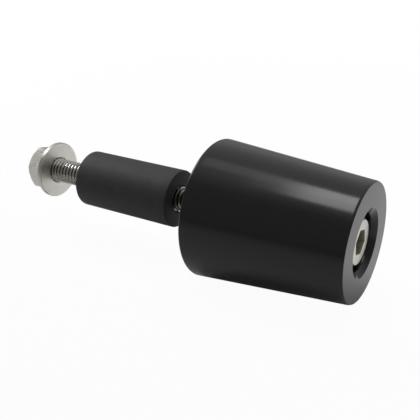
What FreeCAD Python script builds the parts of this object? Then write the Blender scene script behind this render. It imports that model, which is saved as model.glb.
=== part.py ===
"""Handlebar end weight held by a screw that squeezes a rubber sleeve inside the bar.

All sizes are in millimetres. The axis of the part is X: +X points outboard, away from
the handlebar, and x = 0 is the inner face of the weight, where the bar's end butts.
"""
import os

import FreeCAD
import Part

# Weight: a tapered round body, thickest where it meets the grip
WEIGHT_LENGTH = 36.0
SEAT_DIAMETER = 32.2
END_DIAMETER = 26.4
SEAT_EDGE_RADIUS = 0.6
END_EDGE_LENGTH = 0.5
END_EDGE_STEP = 0.15
COUNTERBORE_DIAMETER = 12.8
DISH_DIAMETER = 15.2
DISH_DEPTH = 1.1
HEAD_RECESS = 1.15
SCREW_HOLE_DIAMETER = 6.6
SCREW_HOLE_CHAMFER = 0.5

# Clamp screw: M6 x 80 socket head, threaded all along; its tip ends inside the nut
THREAD_DIAMETER = 6.0
THREAD_ENGAGEMENT = 3.95
HEAD_DIAMETER = 10.4
HEAD_HEIGHT = 6.0
HEAD_EDGE_CHAMFER = 0.45
TIP_CHAMFER = 0.75
SOCKET_ACROSS_FLATS = 5.0
SOCKET_DEPTH = 3.0
SOCKET_DRILL_DEPTH = 0.9
SOCKET_MOUTH_CHAMFER = 0.15
SOCKET_TURN_DEG = 42.0

# Expander sleeve: a rubber tube that slides on the screw
SLEEVE_DIAMETER = 13.8
SLEEVE_LENGTH = 26.4
SLEEVE_GAP = 9.5
SLEEVE_EDGE_CHAMFER = 0.35
SLEEVE_MOUTH_CHAMFER = 0.3
SLEEVE_BORE_CLEARANCE = 0.05

# Flange nut: M6, flange towards the sleeve
NUT_GAP = 11.3
NUT_HEIGHT = 6.0
NUT_ACROSS_FLATS = 10.0
NUT_CORNER_CHAMFER = 0.7
NUT_FLANGE_DIAMETER = 14.2
NUT_FLANGE_RIM = 1.0
NUT_FLANGE_SLOPE = 1.0
NUT_EDGE_ROUND = 0.25
NUT_MOUTH_CHAMFER = 0.4
NUT_BORE_CLEARANCE = 0.05
NUT_TURN_DEG = 45.0

# Stations along the axis
HEAD_FACE_X = WEIGHT_LENGTH - HEAD_RECESS
HEAD_SEAT_X = HEAD_FACE_X - HEAD_HEIGHT
SLEEVE_FRONT_X = -SLEEVE_GAP
SLEEVE_BACK_X = SLEEVE_FRONT_X - SLEEVE_LENGTH
NUT_FRONT_X = SLEEVE_BACK_X - NUT_GAP
NUT_BACK_X = NUT_FRONT_X - NUT_HEIGHT
SCREW_TIP_X = NUT_FRONT_X - THREAD_ENGAGEMENT

# Radii shared by mating features
SHANK_RADIUS = THREAD_DIAMETER / 2
SLEEVE_BORE_RADIUS = SHANK_RADIUS + SLEEVE_BORE_CLEARANCE
NUT_BORE_RADIUS = SHANK_RADIUS + NUT_BORE_CLEARANCE

AXIS = FreeCAD.Vector(1, 0, 0)
ORIGIN = FreeCAD.Vector(0, 0, 0)
COS_30 = 3 ** 0.5 / 2


def turned(profile):
    """Turn a closed list of (x, radius) points about the X axis into a solid."""
    points = [FreeCAD.Vector(x, 0, radius) for x, radius in profile]
    face = Part.Face(Part.makePolygon(points + points[:1]))
    return face.revolve(ORIGIN, AXIS, 360)


def hex_bar(across_flats, from_x, to_x, turn_deg):
    """Make a hexagonal bar on the X axis; at turn 0 one corner points along Y."""
    corner = across_flats / 2 / COS_30
    arm = FreeCAD.Vector(from_x, corner, 0)
    points = [FreeCAD.Rotation(AXIS, turn_deg + 60 * i).multVec(arm) for i in range(6)]
    face = Part.Face(Part.makePolygon(points + points[:1]))
    return face.extrude(FreeCAD.Vector(to_x - from_x, 0, 0))


def rounded_rim(shape, rims, amount):
    """Round the circular edges given as (x, radius) pairs."""
    edges = []
    for edge in shape.Edges:
        curve = edge.Curve
        if isinstance(curve, Part.Circle):
            for x, radius in rims:
                if abs(curve.Center.x - x) < 1e-4 and abs(curve.Radius - radius) < 1e-4:
                    edges.append(edge)
    return shape.makeFillet(amount, edges)


# Weight
def make_weight():
    """Tapered body with a dished counterbore for the screw and a clear hole for its shank."""
    seat_r = SEAT_DIAMETER / 2
    end_r = END_DIAMETER / 2
    taper = (seat_r - end_r) / WEIGHT_LENGTH
    bore_r = COUNTERBORE_DIAMETER / 2
    hole_r = SCREW_HOLE_DIAMETER / 2
    body = turned([
        (0, hole_r + SCREW_HOLE_CHAMFER),
        (0, seat_r),
        (WEIGHT_LENGTH - END_EDGE_LENGTH, end_r + taper * END_EDGE_LENGTH),
        (WEIGHT_LENGTH, end_r - END_EDGE_STEP),
        (WEIGHT_LENGTH, DISH_DIAMETER / 2),
        (WEIGHT_LENGTH - DISH_DEPTH, bore_r),
        (HEAD_SEAT_X, bore_r),
        (HEAD_SEAT_X, hole_r),
        (SCREW_HOLE_CHAMFER, hole_r),
    ])
    return rounded_rim(body, [(0, seat_r)], SEAT_EDGE_RADIUS)


# Clamp screw
def make_clamp_screw():
    """Socket head screw whose head rests on the floor of the counterbore."""
    head_r = HEAD_DIAMETER / 2
    screw = turned([
        (HEAD_FACE_X, 0),
        (HEAD_FACE_X, head_r - HEAD_EDGE_CHAMFER),
        (HEAD_FACE_X - HEAD_EDGE_CHAMFER, head_r),
        (HEAD_SEAT_X, head_r),
        (HEAD_SEAT_X, SHANK_RADIUS),
        (SCREW_TIP_X + TIP_CHAMFER, SHANK_RADIUS),
        (SCREW_TIP_X, SHANK_RADIUS - TIP_CHAMFER),
        (SCREW_TIP_X, 0),
    ])
    floor_x = HEAD_FACE_X - SOCKET_DEPTH
    corner_r = SOCKET_ACROSS_FLATS / 2 / COS_30
    socket = hex_bar(SOCKET_ACROSS_FLATS, floor_x, HEAD_FACE_X + 1, SOCKET_TURN_DEG)
    drill_r = SOCKET_ACROSS_FLATS / 2 - 0.02
    drill = turned([
        (floor_x - SOCKET_DRILL_DEPTH, 0),
        (floor_x, drill_r),
        (floor_x + 0.5, drill_r),
        (floor_x + 0.5, 0),
    ])
    mouth_r = corner_r + SOCKET_MOUTH_CHAMFER
    mouth = turned([
        (HEAD_FACE_X - mouth_r, 0),
        (HEAD_FACE_X, mouth_r),
        (HEAD_FACE_X + 1, mouth_r),
        (HEAD_FACE_X + 1, 0),
    ])
    return screw.cut(socket).cut(drill).cut(mouth)


# Expander sleeve
def make_expander_sleeve():
    """Rubber tube with broken edges and slightly flared bore mouths."""
    outer_r = SLEEVE_DIAMETER / 2
    bore_r = SLEEVE_BORE_RADIUS
    return turned([
        (SLEEVE_BACK_X, bore_r + SLEEVE_MOUTH_CHAMFER),
        (SLEEVE_BACK_X, outer_r - SLEEVE_EDGE_CHAMFER),
        (SLEEVE_BACK_X + SLEEVE_EDGE_CHAMFER, outer_r),
        (SLEEVE_FRONT_X - SLEEVE_EDGE_CHAMFER, outer_r),
        (SLEEVE_FRONT_X, outer_r - SLEEVE_EDGE_CHAMFER),
        (SLEEVE_FRONT_X, bore_r + SLEEVE_MOUTH_CHAMFER),
        (SLEEVE_FRONT_X - SLEEVE_MOUTH_CHAMFER, bore_r),
        (SLEEVE_BACK_X + SLEEVE_MOUTH_CHAMFER, bore_r),
    ])


# Flange nut
def make_flange_nut():
    """Hexagon nut with a round flange; the flange faces the sleeve."""
    corner_r = NUT_ACROSS_FLATS / 2 / COS_30
    flat_r = NUT_ACROSS_FLATS / 2
    rim_r = NUT_FLANGE_DIAMETER / 2
    rim_back_x = NUT_FRONT_X - NUT_FLANGE_RIM
    hexagon = hex_bar(NUT_ACROSS_FLATS, NUT_BACK_X, NUT_FRONT_X, NUT_TURN_DEG)
    blank = turned([
        (NUT_FRONT_X, 0),
        (NUT_FRONT_X, corner_r + 1),
        (NUT_BACK_X + NUT_CORNER_CHAMFER, corner_r + 1),
        (NUT_BACK_X + NUT_CORNER_CHAMFER, corner_r + 0.15),
        (NUT_BACK_X, flat_r - 0.1),
        (NUT_BACK_X, 0),
    ])
    flange = turned([
        (NUT_FRONT_X, 0),
        (NUT_FRONT_X, rim_r - NUT_EDGE_ROUND),
        (NUT_FRONT_X - NUT_EDGE_ROUND, rim_r),
        (rim_back_x, rim_r),
        (rim_back_x - NUT_FLANGE_SLOPE, flat_r - 0.2),
        (rim_back_x - NUT_FLANGE_SLOPE, 0),
    ])
    bore = turned([
        (NUT_BACK_X - 1, 0),
        (NUT_BACK_X - 1, NUT_BORE_RADIUS + NUT_MOUTH_CHAMFER),
        (NUT_BACK_X, NUT_BORE_RADIUS + NUT_MOUTH_CHAMFER),
        (NUT_BACK_X + NUT_MOUTH_CHAMFER, NUT_BORE_RADIUS),
        (NUT_FRONT_X - NUT_MOUTH_CHAMFER, NUT_BORE_RADIUS),
        (NUT_FRONT_X, NUT_BORE_RADIUS + NUT_MOUTH_CHAMFER),
        (NUT_FRONT_X + 1, NUT_BORE_RADIUS + NUT_MOUTH_CHAMFER),
        (NUT_FRONT_X + 1, 0),
    ])
    return hexagon.common(blank).fuse(flange).cut(bore).removeSplitter()


PIECES = {
    "weight": make_weight,
    "clamp_screw": make_clamp_screw,
    "expander_sleeve": make_expander_sleeve,
    "flange_nut": make_flange_nut,
}


def main():
    """Build every piece and write one STEP file for each."""
    os.makedirs("parts", exist_ok=True)
    for name, make in PIECES.items():
        shape = make()
        if shape.ShapeType != "Solid":
            shape = shape.Solids[0]
        shape.exportStep("parts/" + name + ".step")
        print(name, "closed" if shape.isValid() else "NOT VALID", round(shape.Volume, 1))
    print("screw length under the head", round(HEAD_SEAT_X - SCREW_TIP_X, 2))


main()
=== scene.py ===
"""Looks of a handlebar end weight: tapered weight, clamp screw, rubber sleeve, flange nut.

Metres, in the row frame: +X outboard along the axis, x = 0 at the weight's inner face.
"""

import logging
import math
from dataclasses import dataclass, field
from enum import Enum
from typing import NamedTuple

import bmesh
import bpy
from mathutils import Matrix, Vector

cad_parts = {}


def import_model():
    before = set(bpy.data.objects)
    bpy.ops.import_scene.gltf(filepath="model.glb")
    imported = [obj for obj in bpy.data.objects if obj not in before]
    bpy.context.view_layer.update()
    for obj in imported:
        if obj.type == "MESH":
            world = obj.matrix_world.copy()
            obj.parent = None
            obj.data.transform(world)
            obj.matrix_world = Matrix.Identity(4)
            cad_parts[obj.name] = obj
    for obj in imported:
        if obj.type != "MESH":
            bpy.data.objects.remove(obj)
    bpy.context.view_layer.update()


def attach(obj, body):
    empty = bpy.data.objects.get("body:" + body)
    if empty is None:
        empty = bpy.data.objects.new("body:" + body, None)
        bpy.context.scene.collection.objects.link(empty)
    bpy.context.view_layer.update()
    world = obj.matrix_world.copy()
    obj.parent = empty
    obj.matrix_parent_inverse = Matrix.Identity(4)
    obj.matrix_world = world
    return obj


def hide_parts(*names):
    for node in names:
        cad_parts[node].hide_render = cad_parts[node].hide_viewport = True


MM = 0.001
WELD = 0.002 * MM
SENSOR_WIDTH = 36.0
LOG = logging.getLogger("bar_end_weight")
Colour = tuple[float, float, float]
Point = tuple[float, float, float]
Span = tuple[float, float]
BLACK: Colour = (0.0, 0.0, 0.0)
WHITE: Colour = (1.0, 1.0, 1.0)

# Index of refraction of coating and rubber, and the noise values that patterns use
IOR = 1.5
CLOUDS: Span = (0.3, 0.7)
SPECKS: Span = (0.35, 0.7)

# Shares of one pitch in a metric thread's profile, and the least length of a run-out
HALF_CREST = 1 / 16
FLANK = 5 / 16
LEAST_FADE = 0.001

# Steps in which the nut's flange rises and its corners are broken
FLARE_STEPS = (0.15, 0.3, 0.45, 0.6, 0.75, 0.9, 1.0)
CHAMFER_STEPS = (0.0, 0.2, 0.4, 0.6, 0.8, 1.0)


class Body(Enum):
    """The bodies that pieces ride on."""

    WEIGHT = "weight"
    SCREW = "screw"
    SLEEVE = "sleeve"
    NUT = "nut"


class Slot(Enum):
    """The record's material slots."""

    WEIGHT = "weight_black"
    SCREW = "screw_steel"
    SLEEVE = "sleeve_rubber"
    NUT = "nut_nickel"


class Cut(Enum):
    """Which way a thread is cut: into a bar, or into the wall of a hole."""

    INTO_BAR = -1.0
    INTO_WALL = 1.0


# Shader helpers
class Shader:
    """A material's node tree with short ways to add what the finishes share."""

    def __init__(self, name: str) -> None:
        """Start an empty material called name, with a shader and its output."""
        self.material = bpy.data.materials.new(name)
        self.material.use_nodes = True
        self.nodes = self.material.node_tree.nodes
        self.links = self.material.node_tree.links
        self.nodes.clear()
        self.principled = self.add("ShaderNodeBsdfPrincipled")
        output = self.add("ShaderNodeOutputMaterial")
        self.links.new(self.principled.outputs["BSDF"], output.inputs["Surface"])

    def add(self, kind: str, **settings: object) -> bpy.types.Node:
        """Add a node and set its properties.

        Args:
            kind: The node's type name.
            settings: Properties to set on it.

        Returns:
            The new node.
        """
        node = self.nodes.new(kind)
        for key, value in settings.items():
            setattr(node, key, value)
        return node

    def set(self, **values: object) -> None:
        """Set shader sockets; an underscore in a name stands for a space."""
        for key, value in values.items():
            self.principled.inputs[key.replace("_", " ")].default_value = value

    def position(self) -> bpy.types.NodeSocket:
        """Return the point in the piece's own frame."""
        return self.add("ShaderNodeTexCoord").outputs["Object"]

    def math(self, operation: str, *inputs: object) -> bpy.types.NodeSocket:
        """Add a Math node.

        Args:
            operation: The node's operation.
            inputs: Sockets or numbers, in order.

        Returns:
            The result socket.
        """
        node = self.add("ShaderNodeMath", operation=operation)
        for socket, value in zip(node.inputs, inputs):
            if isinstance(value, (int, float)):
                socket.default_value = value
            else:
                self.links.new(value, socket)
        return node.outputs[0]

    def noise(self, size: float, detail: float = 3.0, stretch: Point = (1.0, 1.0, 1.0)
              ) -> bpy.types.NodeSocket:
        """Add a noise pattern.

        Args:
            size: Grain size in metres.
            detail: Octaves.
            stretch: Scale of the pattern along each axis.

        Returns:
            The noise value, about 0.5 on average.
        """
        mapping = self.add("ShaderNodeMapping")
        mapping.inputs["Scale"].default_value = stretch
        self.links.new(self.position(), mapping.inputs["Vector"])
        node = self.add("ShaderNodeTexNoise")
        node.inputs["Scale"].default_value = 1 / size
        node.inputs["Detail"].default_value = detail
        self.links.new(mapping.outputs[0], node.inputs["Vector"])
        return node.outputs["Fac"]

    def ramp(self, value: bpy.types.NodeSocket, low: float, high: float, to_low: float,
             to_high: float) -> bpy.types.NodeSocket:
        """Map a value from one range to another, clamped.

        Args:
            value: The socket to map.
            low: Start of the value's range.
            high: End of the value's range.
            to_low: Result at low.
            to_high: Result at high.

        Returns:
            The mapped value.
        """
        node = self.add("ShaderNodeMapRange")
        for socket, number in zip(node.inputs[1:5], (low, high, to_low, to_high)):
            socket.default_value = number
        self.links.new(value, node.inputs[0])
        return node.outputs[0]

    def tint(self, value: bpy.types.NodeSocket, first: Colour, second: Colour) -> None:
        """Colour the surface between two colours.

        Args:
            value: The socket that mixes them, from 0 to 1.
            first: Colour at 0.
            second: Colour at 1.
        """
        node = self.add("ShaderNodeMix", data_type="RGBA")
        node.inputs["A"].default_value = (*first, 1)
        node.inputs["B"].default_value = (*second, 1)
        self.links.new(value, node.inputs["Factor"])
        self.links.new(node.outputs["Result"], self.principled.inputs["Base Color"])

    def rough(self, value: bpy.types.NodeSocket, mean: float, spread: Span) -> None:
        """Vary the roughness with a noise pattern.

        Args:
            value: The noise value.
            mean: Mean roughness.
            spread: Least and greatest roughness, as shares of the mean.
        """
        level = self.ramp(value, *CLOUDS, mean * spread[0], mean * spread[1])
        self.links.new(level, self.principled.inputs["Roughness"])

    def bump(self, height: bpy.types.NodeSocket, depth: float) -> None:
        """Raise the surface in the shading.

        Args:
            height: The socket that gives the height.
            depth: What a height of 1 raises it by, in metres.
        """
        node = self.add("ShaderNodeBump")
        node.inputs["Strength"].default_value = 1.0
        node.inputs["Distance"].default_value = depth
        self.links.new(height, node.inputs["Height"])
        self.links.new(node.outputs["Normal"], self.principled.inputs["Normal"])

    def axes(self) -> list[bpy.types.NodeSocket]:
        """Return the point's x, y and z in the piece's own frame."""
        split = self.add("ShaderNodeSeparateXYZ")
        self.links.new(self.position(), split.inputs[0])
        return list(split.outputs)

    def radius(self) -> bpy.types.NodeSocket:
        """Return the distance from the X axis."""
        squares = [self.math("POWER", value, 2.0) for value in self.axes()[1:]]
        return self.math("SQRT", self.math("ADD", *squares))


# Finishes
@dataclass(frozen=True)
class BlackCoat:
    """Smooth black coating over turned metal, with faint specks and turning marks.

    Attributes:
        name: The material's name.
        colour: Main colour.
        speck: Colour of the specks.
        roughness: Mean roughness.
        spread: Least and greatest roughness, as shares of the mean.
        grain: Size of the specks in metres.
        clouds: Size of the rougher patches, in grains.
        turning_pitch: Distance between turning marks in metres.
        turning_depth: Depth of the turning marks in metres.
        grain_share: Height of the specks, in depths of the turning marks.
    """

    name: str = "black_coat"
    colour: Colour = (0.0085, 0.0085, 0.009)
    speck: Colour = (0.0105, 0.0105, 0.0112)
    roughness: float = 0.17
    spread: Span = (0.9, 1.12)
    grain: float = 0.0009
    clouds: float = 9.0
    turning_pitch: float = 0.00042
    turning_depth: float = 0.00000012
    grain_share: float = 2.0

    def build(self) -> bpy.types.Material:
        """Return the coating's material."""
        shader = Shader(self.name)
        shader.set(IOR=IOR, Metallic=0.0)
        cloud = shader.noise(self.grain * self.clouds, 2.0)
        fine = shader.noise(self.grain, 4.0)
        shader.tint(shader.ramp(fine, *SPECKS, 0.0, 1.0), self.colour, self.speck)
        shader.rough(cloud, self.roughness, self.spread)
        outline = shader.math("ADD", shader.radius(), shader.axes()[0])
        turns = shader.math("MULTIPLY", outline, 2 * math.pi / self.turning_pitch)
        specks = shader.math("MULTIPLY", fine, self.grain_share)
        shader.bump(shader.math("ADD", shader.math("SINE", turns), specks), self.turning_depth)
        return shader.material


@dataclass(frozen=True)
class BareMetal:
    """Plain or plated metal with fine marks around the axis.

    Attributes:
        name: The material's name.
        colour: First of its two colours; if there are grooves, the grooves' colour, a painted
            shade.
        shade: The other colour; the crests', if there are grooves.
        roughness: Mean roughness.
        spread: Least and greatest roughness, as shares of the mean.
        grain: Size of the marks in metres.
        clouds: Size of the patches of colour, in grains.
        stretch: Scale of the marks' pattern along each axis.
        depth: Depth of the marks in metres.
        groove: Radii, in metres, between which the colour turns from the groove's painted shade to
            the crest's colour.
    """

    name: str
    colour: Colour
    shade: Colour
    roughness: float
    spread: Span = (0.85, 1.2)
    grain: float = 0.0004
    clouds: float = 6.0
    stretch: Point = (4.0, 1.0, 1.0)
    depth: float = 0.0000015
    groove: Span | None = None

    def build(self) -> bpy.types.Material:
        """Return the metal's material."""
        shader = Shader(self.name)
        shader.set(Metallic=1.0)
        marks = shader.noise(self.grain, stretch=self.stretch)
        # With grooves, the colour runs from painted shade at the root to the crest's colour.
        if self.groove:
            value = shader.ramp(shader.radius(), *self.groove, 0.0, 1.0)
        else:
            value = shader.ramp(shader.noise(self.grain * self.clouds), *CLOUDS, 0.0, 1.0)
        shader.tint(value, self.colour, self.shade)
        shader.rough(marks, self.roughness, self.spread)
        shader.bump(marks, self.depth)
        return shader.material


@dataclass(frozen=True)
class SoftRubber:
    """Matt black rubber with a fine moulded grain and a trace of bloom.

    Attributes:
        name: The material's name.
        colour: Main colour.
        bloom: Colour of the bloomed patches.
        sheen: Weight and roughness of the rubber's sheen.
        roughness: Mean roughness.
        spread: Least and greatest roughness, as shares of the mean.
        grain: Size of the grain in metres.
        clouds: Size of the bloomed patches, in grains.
        depth: Depth of the grain in metres.
    """

    name: str = "soft_rubber"
    colour: Colour = (0.0225, 0.0225, 0.0243)
    bloom: Colour = (0.029, 0.029, 0.0315)
    sheen: Span = (0.02, 0.5)
    roughness: float = 0.62
    spread: Span = (0.92, 1.1)
    grain: float = 0.00035
    clouds: float = 8.0
    depth: float = 0.000012

    def build(self) -> bpy.types.Material:
        """Return the rubber's material."""
        shader = Shader(self.name)
        weight, softness = self.sheen
        shader.set(IOR=IOR, Metallic=0.0, Sheen_Weight=weight, Sheen_Roughness=softness)
        cloud = shader.noise(self.grain * self.clouds, 4.0)
        fine = shader.noise(self.grain)
        shader.tint(shader.ramp(cloud, *SPECKS, 0.0, 1.0), self.colour, self.bloom)
        shader.rough(fine, self.roughness, self.spread)
        shader.bump(fine, self.depth)
        return shader.material


# Shape helpers
@dataclass(frozen=True)
class Ring:
    """One closed ring of a turned or hexagonal shape.

    Attributes:
        x: Place along the axis, in millimetres.
        radius: Radius of the round part.
        flats: Width across flats that trims the round part, if any.
        core: Least radius, for a round flange around a hexagon.
        ridges: Depth of straight ridges cut into the round part.
    """

    x: float
    radius: float
    flats: float | None = None
    core: float = 0.0
    ridges: float = 0.0


@dataclass
class Lathe:
    """Makes a closed skin from rings, each joined to the next.

    Attributes:
        segments: Points in each ring; a multiple of 6.
        turn_deg: Angle of the first point, which is a hexagon's corner.
        ridge_count: Ridges around a ridged ring.
    """

    segments: int
    turn_deg: float = 0.0
    ridge_count: int = 48

    def reach(self, ring: Ring, angle: float) -> float:
        """Find how far a ring reaches from the axis.

        Args:
            ring: The ring.
            angle: Angle from the first corner, in radians.

        Returns:
            The radius there, in millimetres.
        """
        radius = ring.radius
        if ring.ridges:
            radius -= ring.ridges * (0.5 - 0.5 * math.cos(self.ridge_count * angle))
        if ring.flats:
            off_flat = (angle % (math.pi / 3)) - math.pi / 6
            radius = min(radius, ring.flats / 2 / math.cos(off_flat))
        return max(radius, ring.core)

    def add(self, mesh: bmesh.types.BMesh, rings: list[Ring], close: bool
            ) -> list[list[bmesh.types.BMFace]]:
        """Add the skin to a mesh.

        Args:
            mesh: The mesh to add to.
            rings: The rings, in the order that turns faces outwards.
            close: Whether the last ring joins the first; otherwise both ends are capped.

        Returns:
            The new faces, row by row.
        """
        rows = []
        for ring in rings:
            row = []
            for i in range(self.segments):
                angle = 2 * math.pi * i / self.segments
                place = math.radians(self.turn_deg) + angle
                radius = self.reach(ring, angle)
                row.append(mesh.verts.new((
                    ring.x * MM, radius * math.cos(place) * MM, radius * math.sin(place) * MM)))
            rows.append(row)
        pairs = list(zip(rows, rows[1:] + rows[:1])) if close else list(zip(rows, rows[1:]))
        faces = []
        for a, b in pairs:
            faces.append([
                mesh.faces.new((a[i], a[(i + 1) % self.segments],
                                b[(i + 1) % self.segments], b[i]))
                for i in range(self.segments)])
        if not close:
            mesh.faces.new(rows[0][::-1])
            mesh.faces.new(rows[-1])
        return faces


def arc(x: float, radius: float, size: float, start: float, end: float, steps: int
        ) -> list[Ring]:
    """Round a corner of a profile.

    Args:
        x: Centre of the rounding along the axis.
        radius: Centre of the rounding from the axis.
        size: Radius of the rounding.
        start: First angle in degrees; 0 points outboard, 90 away from the axis.
        end: Last angle in degrees.
        steps: Number of spans.

    Returns:
        The rings along the rounding.
    """
    angles = [math.radians(start + (end - start) * i / steps) for i in range(steps + 1)]
    return [Ring(x + size * math.cos(a), radius + size * math.sin(a)) for a in angles]


def between(first: Ring, last: Ring, count: int) -> list[Ring]:
    """Space plain rings evenly between two others.

    Args:
        first: The ring before them.
        last: The ring after them.
        count: How many to make.

    Returns:
        The rings between, ends left out.
    """
    shares = [i / (count + 1) for i in range(1, count + 1)]
    return [Ring(first.x + (last.x - first.x) * s, first.radius + (last.radius - first.radius) * s)
            for s in shares]


def finish_piece(name: str, mesh: bmesh.types.BMesh, materials: list[bpy.types.Material],
                 sharp_deg: float = 28.0) -> bpy.types.Object:
    """Turn a working mesh into a piece of the scene.

    Args:
        name: The piece's name.
        mesh: The working mesh, which is freed.
        materials: The piece's materials, in slot order.
        sharp_deg: Edges that turn more than this stay crisp.

    Returns:
        The new object, at the origin.
    """
    bmesh.ops.recalc_face_normals(mesh, faces=mesh.faces)
    for edge in mesh.edges:
        if len(edge.link_faces) == 2:
            edge.smooth = edge.calc_face_angle(0.0) < math.radians(sharp_deg)
    for face in mesh.faces:
        face.smooth = True
    data = bpy.data.meshes.new(name)
    mesh.to_mesh(data)
    mesh.free()
    for material in materials:
        data.materials.append(material)
    piece = bpy.data.objects.new(name, data)
    bpy.context.scene.collection.objects.link(piece)
    return piece


def place(piece: bpy.types.Object, body: Body, node: str, slot: Slot) -> None:
    """Put a piece on its body, in place of its plain solid, and report it.

    Args:
        piece: The piece.
        body: The body it rides on.
        node: The record's node that it replaces.
        slot: The material slot it shows; not used.
    """
    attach(piece, body.value)
    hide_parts(node)
    LOG.info("%s: %d faces on %s", piece.name, len(piece.data.polygons), body.value)


# Thread
@dataclass
class ThreadSkin:
    """A right-handed thread as an open tube of skin along X, grown by Geometry Nodes.

    A strip one pitch wide winds along the tube; its edges meet the next turn's.

    Attributes:
        from_x: Start along the axis, in millimetres.
        to_x: End along the axis.
        radius: Radius at the uncut surface.
        depth: Depth of the thread.
        pitch: Advance in one turn.
        cut: Into a bar or into the wall of a hole.
        start_chamfer: Chamfer at the start, deeper than the thread.
        end_chamfer: Chamfer at the end, if the thread doesn't run out there.
        fade: Length at the end over which the thread runs out, or 0.
        segments: Points around.
        spans: Points across one pitch; a multiple of 16 keeps the corners true.
    """

    from_x: float
    to_x: float
    radius: float
    depth: float
    pitch: float
    cut: Cut
    start_chamfer: float
    end_chamfer: float
    fade: float
    segments: int
    spans: int = 16

    def inputs(self) -> dict[str, float]:
        """Return the tree's number inputs by name, lengths in metres."""
        turns = math.ceil((self.to_x - self.from_x) / self.pitch) + 2
        return {
            "Start": self.from_x * MM,
            "End": self.to_x * MM,
            "Radius": self.radius * MM,
            "Depth": self.depth * MM,
            "Pitch": self.pitch * MM,
            "Direction": self.cut.value,
            "Start Chamfer": self.start_chamfer * MM,
            "End Chamfer": self.end_chamfer * MM,
            "Fade": max(self.fade, LEAST_FADE) * MM,
            "Turns": float(turns),
        }

    def counts(self) -> dict[str, int]:
        """Return the tree's whole-number inputs by name."""
        turns = round(self.inputs()["Turns"])
        return {"Points Along": turns * self.segments + 1, "Points Across": self.spans + 1}

    def tree(self) -> bpy.types.NodeTree:
        """Build the node tree, ending in Realize Instances and Set Material."""
        tree = bpy.data.node_groups.new("thread_skin", "GeometryNodeTree")
        tree.interface.new_socket("Geometry", in_out="INPUT", socket_type="NodeSocketGeometry")
        tree.interface.new_socket("Geometry", in_out="OUTPUT", socket_type="NodeSocketGeometry")
        for name in self.inputs():
            tree.interface.new_socket(name, in_out="INPUT", socket_type="NodeSocketFloat")
        for name in self.counts():
            tree.interface.new_socket(name, in_out="INPUT", socket_type="NodeSocketInt")
        tree.interface.new_socket("Material", in_out="INPUT", socket_type="NodeSocketMaterial")
        given = tree.nodes.new("NodeGroupInput").outputs

        def sums(operation: str, *values: object) -> bpy.types.NodeSocket:
            """Return the result of a Math node on sockets or numbers."""
            node = tree.nodes.new("ShaderNodeMath")
            node.operation = operation
            for socket, value in zip(node.inputs, values):
                if isinstance(value, (int, float)):
                    socket.default_value = value
                else:
                    tree.links.new(value, socket)
            return node.outputs[0]

        strip = tree.nodes.new("GeometryNodeMeshGrid")
        strip.inputs["Size X"].default_value = 1.0
        strip.inputs["Size Y"].default_value = 1.0
        tree.links.new(given["Points Along"], strip.inputs["Vertices X"])
        tree.links.new(given["Points Across"], strip.inputs["Vertices Y"])
        split = tree.nodes.new("ShaderNodeSeparateXYZ")
        tree.links.new(tree.nodes.new("GeometryNodeInputPosition").outputs[0], split.inputs[0])
        turn = sums("MULTIPLY", sums("ADD", split.outputs[0], 0.5), given["Turns"])
        across = sums("ADD", split.outputs[1], 0.5)
        advance = sums("MULTIPLY", sums("ADD", sums("ADD", turn, across), -1.0), given["Pitch"])
        free = sums("ADD", given["Start"], advance)
        along = sums("MINIMUM", sums("MAXIMUM", free, given["Start"]), given["End"])
        angle = sums("MULTIPLY", turn, 2 * math.pi)
        off_crest = sums("ABSOLUTE", sums("SUBTRACT", across, 0.5))
        flank = sums("DIVIDE", sums("SUBTRACT", off_crest, HALF_CREST), FLANK)
        share = sums("MAXIMUM", 0.0, sums("MINIMUM", 1.0, flank))
        run = sums("SUBTRACT", along, given["Start"])
        left = sums("SUBTRACT", given["End"], along)
        runout = sums("MINIMUM", 1.0, sums("DIVIDE", left, given["Fade"]))
        groove = sums("MULTIPLY", sums("MULTIPLY", share, given["Depth"]), runout)
        ends = sums("MAXIMUM", sums("SUBTRACT", given["Start Chamfer"], run),
                    sums("SUBTRACT", given["End Chamfer"], left))
        reach = sums("ADD", given["Radius"],
                     sums("MULTIPLY", sums("MAXIMUM", groove, ends), given["Direction"]))
        where = tree.nodes.new("ShaderNodeCombineXYZ")
        tree.links.new(along, where.inputs[0])
        tree.links.new(sums("MULTIPLY", reach, sums("COSINE", angle)), where.inputs[1])
        tree.links.new(sums("MULTIPLY", reach, sums("SINE", angle)), where.inputs[2])
        move = tree.nodes.new("GeometryNodeSetPosition")
        tree.links.new(strip.outputs["Mesh"], move.inputs["Geometry"])
        tree.links.new(where.outputs[0], move.inputs["Position"])
        weld = tree.nodes.new("GeometryNodeMergeByDistance")
        weld.inputs["Distance"].default_value = WELD
        tree.links.new(move.outputs[0], weld.inputs["Geometry"])
        realize = tree.nodes.new("GeometryNodeRealizeInstances")
        tree.links.new(weld.outputs[0], realize.inputs[0])
        dress = tree.nodes.new("GeometryNodeSetMaterial")
        tree.links.new(realize.outputs[0], dress.inputs["Geometry"])
        tree.links.new(given["Material"], dress.inputs["Material"])
        tree.links.new(dress.outputs[0], tree.nodes.new("NodeGroupOutput").inputs[0])
        return tree

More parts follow.
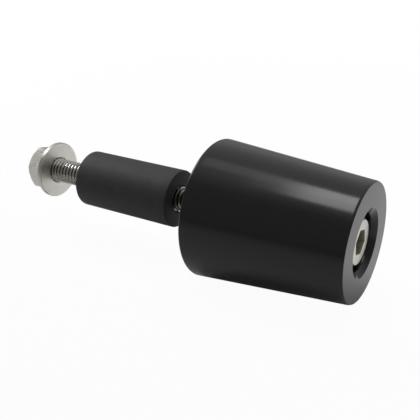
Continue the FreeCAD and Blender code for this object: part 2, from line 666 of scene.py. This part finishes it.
    def add(self, mesh: bmesh.types.BMesh, material: bpy.types.Material, index: int,
            capped: bool) -> None:
        """Grow the skin and add it to a working mesh.

        Args:
            mesh: The working mesh.
            material: The skin's material.
            index: The material's place in the piece's list.
            capped: Whether flat ends close the skin.
        """
        tree = self.tree()
        holder = bpy.data.objects.new("thread_holder", bpy.data.meshes.new("thread_holder"))
        bpy.context.scene.collection.objects.link(holder)
        modifier = holder.modifiers.new("thread", "NODES")
        modifier.node_group = tree
        values = {**self.inputs(), **self.counts(), "Material": material}
        for item in tree.interface.items_tree:
            if item.in_out == "INPUT" and item.name in values:
                modifier[item.identifier] = values[item.name]
        holder.data.update()
        graph = bpy.context.evaluated_depsgraph_get()
        made = bpy.data.meshes.new_from_object(holder.evaluated_get(graph))
        holder.modifiers.remove(modifier)
        bpy.data.objects.remove(holder)
        known = len(mesh.faces)
        mesh.from_mesh(made)
        mesh.faces.ensure_lookup_table()
        skin = mesh.faces[known:]
        rims = {edge for face in skin for edge in face.edges if len(edge.link_faces) == 1}
        for face in skin:
            face.material_index = index
        if capped:
            for face in bmesh.ops.holes_fill(mesh, edges=list(rims), sides=0)["faces"]:
                face.material_index = 0
        bpy.data.meshes.remove(made)
        bpy.data.node_groups.remove(tree)


# Weight
@dataclass
class TaperedWeight:
    """The black weight: a taper with a counterbore in its outboard face."""

    finish: BlackCoat = field(default_factory=BlackCoat)
    length: float = 36.0
    seat_radius: float = 16.1
    end_radius: float = 13.2
    seat_round: float = 0.6
    edge_length: float = 0.5
    edge_step: float = 0.15
    counterbore_radius: float = 6.4
    dish_radius: float = 7.6
    dish_depth: float = 1.1
    floor_x: float = 28.85
    hole_radius: float = 3.3
    hole_chamfer: float = 0.5
    segments: int = 240

    def rings(self) -> list[Ring]:
        """Return the profile, from the grip end over the outer face to the hole's mouth."""
        taper = (self.seat_radius - self.end_radius) / self.length
        seat_edge = self.seat_rings(taper)
        outside = self.edge_rings(taper)
        side = between(seat_edge[-1], outside[0], 12)
        bore = self.bore_rings()
        face = between(outside[-1], bore[0], 5)
        return [*seat_edge, *side, *outside, *face, *bore]

    def seat_rings(self, taper: float) -> list[Ring]:
        """Return the rounding at the grip end, tangent to the inner face and the taper."""
        lean, seat = math.atan(taper), self.seat_round
        middle = self.seat_radius - taper * seat - seat / math.cos(lean)
        return arc(seat, middle, seat, 180, 90 - math.degrees(lean), 6)

    def edge_rings(self, taper: float) -> list[Ring]:
        """Return the shallow edge at the outer face, its two corners softened."""
        soft, at_lip, past_lip, at_face = 0.05, 0.004, 0.045, 0.012
        edge = self.length - self.edge_length
        lip = self.end_radius + taper * self.edge_length
        face_radius = self.end_radius - self.edge_step
        return [Ring(edge - 2 * soft, lip + taper * 2 * soft),
                Ring(edge, lip - at_lip),
                Ring(edge + 2 * soft, lip - past_lip),
                Ring(self.length - soft, face_radius + at_face),
                Ring(self.length, face_radius - soft)]

    def bore_rings(self) -> list[Ring]:
        """Return the dish, the counterbore with its rounded floor corner, and the hole."""
        soft, corner, corner_middle, halfway = 0.04, 0.25, 0.07, 3.0
        wall = self.counterbore_radius
        dish_floor = self.length - self.dish_depth
        return [Ring(self.length, self.dish_radius + soft),
                Ring(self.length - soft, self.dish_radius),
                Ring(dish_floor + soft, wall + soft),
                Ring(dish_floor - soft, wall),
                Ring(self.length - halfway, wall),
                Ring(self.floor_x + corner, wall),
                Ring(self.floor_x + corner_middle, wall - corner_middle),
                Ring(self.floor_x, wall - corner),
                Ring(self.floor_x, self.hole_radius),
                Ring(self.hole_chamfer, self.hole_radius),
                Ring(0, self.hole_radius + self.hole_chamfer)]

    def build(self) -> None:
        """Make the weight and put it on its body."""
        mesh = bmesh.new()
        Lathe(self.segments).add(mesh, self.rings(), close=True)
        piece = finish_piece("weight_body", mesh, [self.finish.build()])
        place(piece, Body.WEIGHT, "weight", Slot.WEIGHT)


# Clamp screw
@dataclass
class ClampScrew:
    """Socket head screw with a ridged head, threaded all along."""

    steel: BareMetal = BareMetal("bright_steel", (0.72, 0.705, 0.65), (0.62, 0.61, 0.565), 0.3)
    # The thread runs from near black at the root to bright steel at the crest: painted shade in
    # the grooves.
    thread: BareMetal = BareMetal("steel_thread_groove_shade", (0.035, 0.034, 0.03), (0.85, 0.83, 0.77), 0.2,
                                  depth=0.0, groove=(0.00244, 0.0029))
    # The socket's walls take a darker, olive steel: painted shade in the socket's recess.
    socket_shade: BareMetal = BareMetal("socket_painted_shade", (0.5, 0.475, 0.37), (0.42, 0.4, 0.31), 0.6)
    head_face: float = 34.85
    head_height: float = 6.0
    head_radius: float = 5.2
    head_chamfer: float = 0.35
    socket_flats: float = 5.0
    socket_depth: float = 3.0
    drill_depth: float = 0.9
    socket_turn: float = 42.0
    ridge_depth: float = 0.16
    shank_radius: float = 3.0
    thread_depth: float = 0.613
    pitch: float = 1.0
    length: float = 80.0
    tip_chamfer: float = 0.75
    runout: float = 2.4
    overlap: float = 0.4
    sharp_deg: float = 34.0
    segments: int = 288
    thread_segments: int = 48

    def socket_rings(self) -> list[Ring]:
        """Return the socket, from its drill point up to its flared mouth."""
        point, drill_inset, floor_step = 0.05, 0.03, 0.01
        halfway, mouth_depth, lip_depth, flare = 0.9, 0.16, 0.03, 0.1
        face, flats = self.head_face, self.socket_flats
        corner = flats / math.sqrt(3)
        floor = face - self.socket_depth
        return [Ring(floor - self.drill_depth, point),
                Ring(floor - self.drill_depth / 2, flats / 4),
                Ring(floor, flats / 2 - drill_inset),
                Ring(floor + floor_step, corner, flats),
                Ring(face - halfway, corner, flats),
                Ring(face - mouth_depth, corner, flats),
                Ring(face - lip_depth, corner + flare, flats + flare)]

    def side_rings(self) -> list[Ring]:
        """Return the head's face, its broken rim, its ridged side and its underside."""
        mouth_corner, mouth_flats, mouth_end = 0.17, 0.4, 0.35
        rim_drop, ridge_start, ridge_full = 0.02, 0.6, 0.85
        foot, middle = 0.25, 0.5
        face, radius, ridges = self.head_face, self.head_radius, self.ridge_depth
        corner = self.socket_flats / math.sqrt(3)
        base = face - self.head_height
        return [Ring(face, corner + mouth_corner, self.socket_flats + mouth_flats),
                Ring(face, corner + mouth_end),
                Ring(face, radius - self.head_chamfer),
                Ring(face - self.head_chamfer, radius - rim_drop),
                Ring(face - ridge_start, radius),
                Ring(face - ridge_full, radius, ridges=ridges),
                Ring(base + 2 * foot, radius, ridges=ridges),
                Ring(base + foot, radius),
                Ring(base, radius - foot),
                Ring(base, middle)]

    def build(self) -> None:
        """Make the screw and put it on its body."""
        steel, socket_shade, thread = self.steel.build(), self.socket_shade.build(), self.thread.build()
        mesh = bmesh.new()
        socket = self.socket_rings()
        rings = socket + self.side_rings()
        rows = Lathe(self.segments, self.socket_turn).add(mesh, rings, close=False)
        # The socket's rows take the darker steel, painted shade in the recess.
        for row in rows[:len(socket)]:
            for face in row:
                face.material_index = 1
        base = self.head_face - self.head_height
        shank = ThreadSkin(
            from_x=base - self.length, to_x=base + self.overlap, radius=self.shank_radius,
            depth=self.thread_depth, pitch=self.pitch, cut=Cut.INTO_BAR,
            start_chamfer=self.tip_chamfer, end_chamfer=0.0, fade=self.runout,
            segments=self.thread_segments)
        shank.add(mesh, thread, 2, capped=True)
        piece = finish_piece("screw_body", mesh, [steel, socket_shade, thread], self.sharp_deg)
        place(piece, Body.SCREW, "clamp_screw", Slot.SCREW)


# Expander sleeve
@dataclass
class ExpanderSleeve:
    """Rubber tube that slides on the screw."""

    finish: SoftRubber = field(default_factory=SoftRubber)
    front: float = -9.5
    length: float = 26.4
    radius: float = 6.9
    bore: float = 3.05
    edge: float = 0.35
    mouth: float = 0.3
    segments: int = 160

    def rings(self) -> list[Ring]:
        """Return the profile, from the back edge along the outside and back."""
        back = self.front - self.length
        rounding = self.radius - self.edge, self.edge
        back_edge = arc(back + self.edge, *rounding, 180, 90, 5)
        front_edge = arc(self.front - self.edge, *rounding, 90, 0, 5)
        rows = between(back_edge[-1], front_edge[0], 8)
        inside = [Ring(self.front, self.bore + self.mouth),
                  Ring(self.front - self.mouth, self.bore),
                  Ring(back + self.mouth, self.bore),
                  Ring(back, self.bore + self.mouth)]
        return [*back_edge, *rows, *front_edge, *inside]

    def build(self) -> None:
        """Make the sleeve and put it on its body."""
        mesh = bmesh.new()
        Lathe(self.segments).add(mesh, self.rings(), close=True)
        piece = finish_piece("sleeve_body", mesh, [self.finish.build()])
        place(piece, Body.SLEEVE, "expander_sleeve", Slot.SLEEVE)


# Flange nut
@dataclass
class FlangeNut:
    """Hexagon nut with a round flange towards the sleeve and a threaded bore."""

    finish: BareMetal = BareMetal("satin_nickel", (0.72, 0.705, 0.655), (0.64, 0.63, 0.585), 0.3)
    bearing: BareMetal = BareMetal("nickel_bearing_face", (0.66, 0.648, 0.6), (0.61, 0.6, 0.555),
                                   0.38)
    front: float = -47.2
    height: float = 6.0
    flats: float = 10.0
    flange_radius: float = 7.1
    face_round: float = 0.25
    rim: float = 1.0
    slope: float = 1.0
    corner_chamfer: float = 0.7
    bore: float = 3.05
    mouth: float = 0.4
    thread_depth: float = 0.3
    pitch: float = 1.0
    turn: float = 45.0
    segments: int = 96

    def rings(self) -> list[Ring]:
        """Return the outside from the front mouth over the flange to the back mouth."""
        front, back = self.front, self.front - self.height
        corner, flats = self.flats / math.sqrt(3), self.flats
        rim_back, chamfer = front - self.rim, self.corner_chamfer
        mouth = self.bore + self.mouth
        flange, rounding = self.flange_radius, self.face_round
        rim_break, flare_inset, prism_gap, face_inset = 0.1, 0.2, 0.3, 0.4
        rim_end, lip_start, over_corner, under_flat = 0.12, 0.02, 0.15, 0.1
        lip, low = flange - rim_break, flats / 2 - flare_inset
        rings = [Ring(front, mouth), Ring(front, flange - 2 * rounding)]
        rings += arc(front - rounding, flange - rounding, rounding, 0, 90, 4)
        rings += [Ring(rim_back + rim_end, flange), Ring(rim_back + lip_start, lip)]
        for share in FLARE_STEPS:
            core = lip - (lip - low) * share
            rings.append(Ring(rim_back - self.slope * share, corner, flats, core))
        rings.append(Ring(rim_back - self.slope - prism_gap, corner, flats))
        widest, narrowest = corner + over_corner, flats / 2 - under_flat
        for share in CHAMFER_STEPS:
            limit = widest - (widest - narrowest) * share
            rings.append(Ring(back + chamfer - chamfer * share, limit, flats))
        rings += [Ring(back, flats / 2 - face_inset), Ring(back, mouth)]
        return rings

    def build(self) -> None:
        """Make the nut and put it on its body."""
        nickel = self.finish.build()
        back = self.front - self.height
        mesh = bmesh.new()
        rows = Lathe(self.segments, self.turn).add(mesh, self.rings(), close=False)
        for face in rows[0]:
            face.material_index = 1
        caps = [face for face in mesh.faces if len(face.verts) > 4]
        bmesh.ops.delete(mesh, geom=caps, context="FACES_ONLY")
        thread = ThreadSkin(
            from_x=back, to_x=self.front, radius=self.bore, depth=self.thread_depth,
            pitch=self.pitch, cut=Cut.INTO_WALL, start_chamfer=self.mouth,
            end_chamfer=self.mouth, fade=0.0, segments=self.segments)
        thread.add(mesh, nickel, 0, capped=False)
        bmesh.ops.remove_doubles(mesh, verts=mesh.verts, dist=WELD)
        piece = finish_piece("nut_body", mesh, [nickel, self.bearing.build()])
        place(piece, Body.NUT, "flange_nut", Slot.NUT)


# Studio
class Ramp(NamedTuple):
    """A change from one level to another along one direction."""

    start: float
    end: float
    first: float
    last: float


@dataclass(frozen=True)
class SoftBox:
    """A rectangular lamp.

    Attributes:
        name: The lamp's name.
        place: Where it stands, in millimetres.
        aim: The point it faces, in millimetres.
        size: Its width and height, in millimetres.
        power: Its power in watts.
    """

    name: str
    place: Point
    aim: Point
    size: Span
    power: float

    def build(self) -> None:
        """Put the lamp in the scene."""
        data = bpy.data.lights.new(self.name, "AREA")
        data.shape = "RECTANGLE"
        data.size, data.size_y = self.size[0] * MM, self.size[1] * MM
        data.energy = self.power
        lamp = bpy.data.objects.new(self.name, data)
        start, aim = Vector(self.place) * MM, Vector(self.aim) * MM
        lamp.location = start
        lamp.rotation_euler = (aim - start).to_track_quat("-Z", "Y").to_euler()
        bpy.context.scene.collection.objects.link(lamp)


SOFT_BOXES = (
    SoftBox("top_box", (12, -6, 400), (12, -6, 0), (165, 215), 0.43),
    SoftBox("top_veil", (-60, 50, 402), (-60, 50, 0), (260, 120), 0.05),
    SoftBox("left_box", (-420, 30, 330), (-20, 0, 0), (200, 200), 0.75),
)


@dataclass
class Studio:
    """Camera, floor and lights.

    Ramps on the floor run in metres, along Y unless they say otherwise.

    Attributes:
        eye: The camera's place, in millimetres.
        right: The camera's right-hand direction.
        up: The camera's upward direction.
        lens: Focal length for a sensor 36 mm wide.
        clip: Nearest and farthest distance the camera sees, in metres.
        floor_z: Height of the floor, in millimetres.
        floor_size: Reach of the floor from its middle, in metres.
        front_far: How light the floor is in front of the part; it darkens further out in front, a
            painted shade that the part reflects.
        front_near: What is added to that under the part.
        back_far: How light the floor is behind the part; it darkens further back, a painted shade
            that the part reflects.
        white: Share of the floor that shows plain white, by distance from the origin.
        mirror_near: Share that a reflection sees as plain white, behind the part.
        mirror_far: Factor on that share further back.
        mirror_side: Factor on that share along X.
        bright_way: Direction of the room's bright side.
        room: Light from the room, by how far a direction agrees with bright_way.
    """

    eye: Point = (73.54, -126.46, 65.50)
    right: Point = (0.860337, 0.509727, 0.0)
    up: Point = (-0.210097, 0.354611, 0.911104)
    lens: float = 59.61
    clip: Span = (0.005, 20.0)
    floor_z: float = -16.15
    floor_size: float = 4.0
    front_far: Ramp = Ramp(-0.16, -0.02, 0.3, 0.6)
    front_near: Ramp = Ramp(-0.02, 0.01, 0.0, 0.32)
    back_far: Ramp = Ramp(0.09, 0.2, 0.92, 0.6)
    white: Ramp = Ramp(0.08, 0.28, 0.96, 1.0)
    mirror_near: Ramp = Ramp(0.004, 0.02, 0.0, 0.4)
    mirror_far: Ramp = Ramp(0.08, 0.14, 1.0, 0.0)
    mirror_side: Ramp = Ramp(0.0, 0.03, 1.8, 1.0)
    bright_way: Point = (0.0, 0.5, 0.866)
    room: Ramp = Ramp(0.35, 0.82, 0.2, 0.54)

    def camera(self) -> None:
        """Set the camera at the photograph's viewing angle."""
        data = bpy.data.cameras.new("camera")
        data.lens, data.sensor_width = self.lens, SENSOR_WIDTH
        data.clip_start, data.clip_end = self.clip
        camera = bpy.data.objects.new("camera", data)
        right, up = Vector(self.right).normalized(), Vector(self.up).normalized()
        turn = Matrix((right, up, right.cross(up))).transposed().to_4x4()
        camera.matrix_world = Matrix.Translation(Vector(self.eye) * MM) @ turn
        bpy.context.scene.collection.objects.link(camera)
        bpy.context.scene.camera = camera

    def plain_white(self, shader: Shader) -> bpy.types.NodeSocket:
        """Return how far the floor shows plain white, to the camera and in reflections."""
        path = shader.add("ShaderNodeLightPath")
        away = shader.add("ShaderNodeVectorMath", operation="LENGTH")
        shader.links.new(shader.position(), away.inputs[0])
        direct = shader.ramp(away.outputs["Value"], *self.white)
        x, y, _ = shader.axes()
        mirrored = shader.math("MULTIPLY", shader.ramp(y, *self.mirror_near),
                               shader.ramp(y, *self.mirror_far))
        mirrored = shader.math("MULTIPLY", mirrored, shader.ramp(x, *self.mirror_side))
        return shader.math(
            "ADD", shader.math("MULTIPLY", path.outputs["Is Camera Ray"], direct),
            shader.math("MULTIPLY", path.outputs["Is Glossy Ray"], mirrored))

    def floor(self) -> None:
        """Lay a white floor that keeps a faint shadow, with painted shade in front of and behind
        the part.
        """
        shader = Shader("white_floor")
        shader.set(Roughness=1.0, Specular_IOR_Level=0.0)
        y = shader.axes()[1]
        # Painted shade: the floor darkens in front of and behind the part, as reflections and
        # bounce light see it.
        front = shader.math("ADD", shader.ramp(y, *self.front_far),
                            shader.ramp(y, *self.front_near))
        back = shader.ramp(y, *self.back_far)
        shader.tint(shader.math("MINIMUM", front, back), BLACK, WHITE)
        glow = shader.add("ShaderNodeEmission")
        glow.inputs["Strength"].default_value = 1.0
        mix = shader.add("ShaderNodeMixShader")
        shader.links.new(self.plain_white(shader), mix.inputs[0])
        shader.links.new(shader.principled.outputs[0], mix.inputs[1])
        shader.links.new(glow.outputs[0], mix.inputs[2])
        output = next(n for n in shader.nodes if n.type == "OUTPUT_MATERIAL")
        shader.links.new(mix.outputs[0], output.inputs["Surface"])
        mesh = bmesh.new()
        bmesh.ops.create_grid(mesh, x_segments=1, y_segments=1, size=self.floor_size)
        floor = finish_piece("floor", mesh, [shader.material])
        floor.location.z = self.floor_z * MM

    def world(self) -> None:
        """Surround the scene with soft light and a white background."""
        world = bpy.data.worlds.new("studio")
        bpy.context.scene.world = world
        world.use_nodes = True
        nodes, links = world.node_tree.nodes, world.node_tree.links
        nodes.clear()
        path = nodes.new("ShaderNodeLightPath")
        soft, plain = nodes.new("ShaderNodeBackground"), nodes.new("ShaderNodeBackground")
        for background in (soft, plain):
            background.inputs["Color"].default_value = (*WHITE, 1.0)
        plain.inputs["Strength"].default_value = 1.0
        sky = nodes.new("ShaderNodeTexCoord")
        facing = nodes.new("ShaderNodeVectorMath")
        facing.operation = "DOT_PRODUCT"
        facing.inputs[1].default_value = self.bright_way
        links.new(sky.outputs["Generated"], facing.inputs[0])
        level = nodes.new("ShaderNodeMapRange")
        level.interpolation_type = "SMOOTHSTEP"
        for socket, number in zip(level.inputs[1:5], self.room):
            socket.default_value = number
        links.new(facing.outputs["Value"], level.inputs[0])
        links.new(level.outputs[0], soft.inputs["Strength"])
        mix, output = nodes.new("ShaderNodeMixShader"), nodes.new("ShaderNodeOutputWorld")
        links.new(path.outputs["Is Camera Ray"], mix.inputs[0])
        links.new(soft.outputs[0], mix.inputs[1])
        links.new(plain.outputs[0], mix.inputs[2])
        links.new(mix.outputs[0], output.inputs["Surface"])

    def build(self) -> None:
        """Set up the camera, the floor, the world and the lamps."""
        bpy.context.scene.view_settings.view_transform = "Standard"
        self.camera()
        self.floor()
        self.world()
        for box in SOFT_BOXES:
            box.build()


def main() -> None:
    """Build the studio and every piece."""
    logging.basicConfig(level=logging.INFO, format="%(message)s")
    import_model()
    Studio().build()
    for part in (TaperedWeight(), ClampScrew(), ExpanderSleeve(), FlangeNut()):
        part.build()


if __name__ == "__main__":
    main()
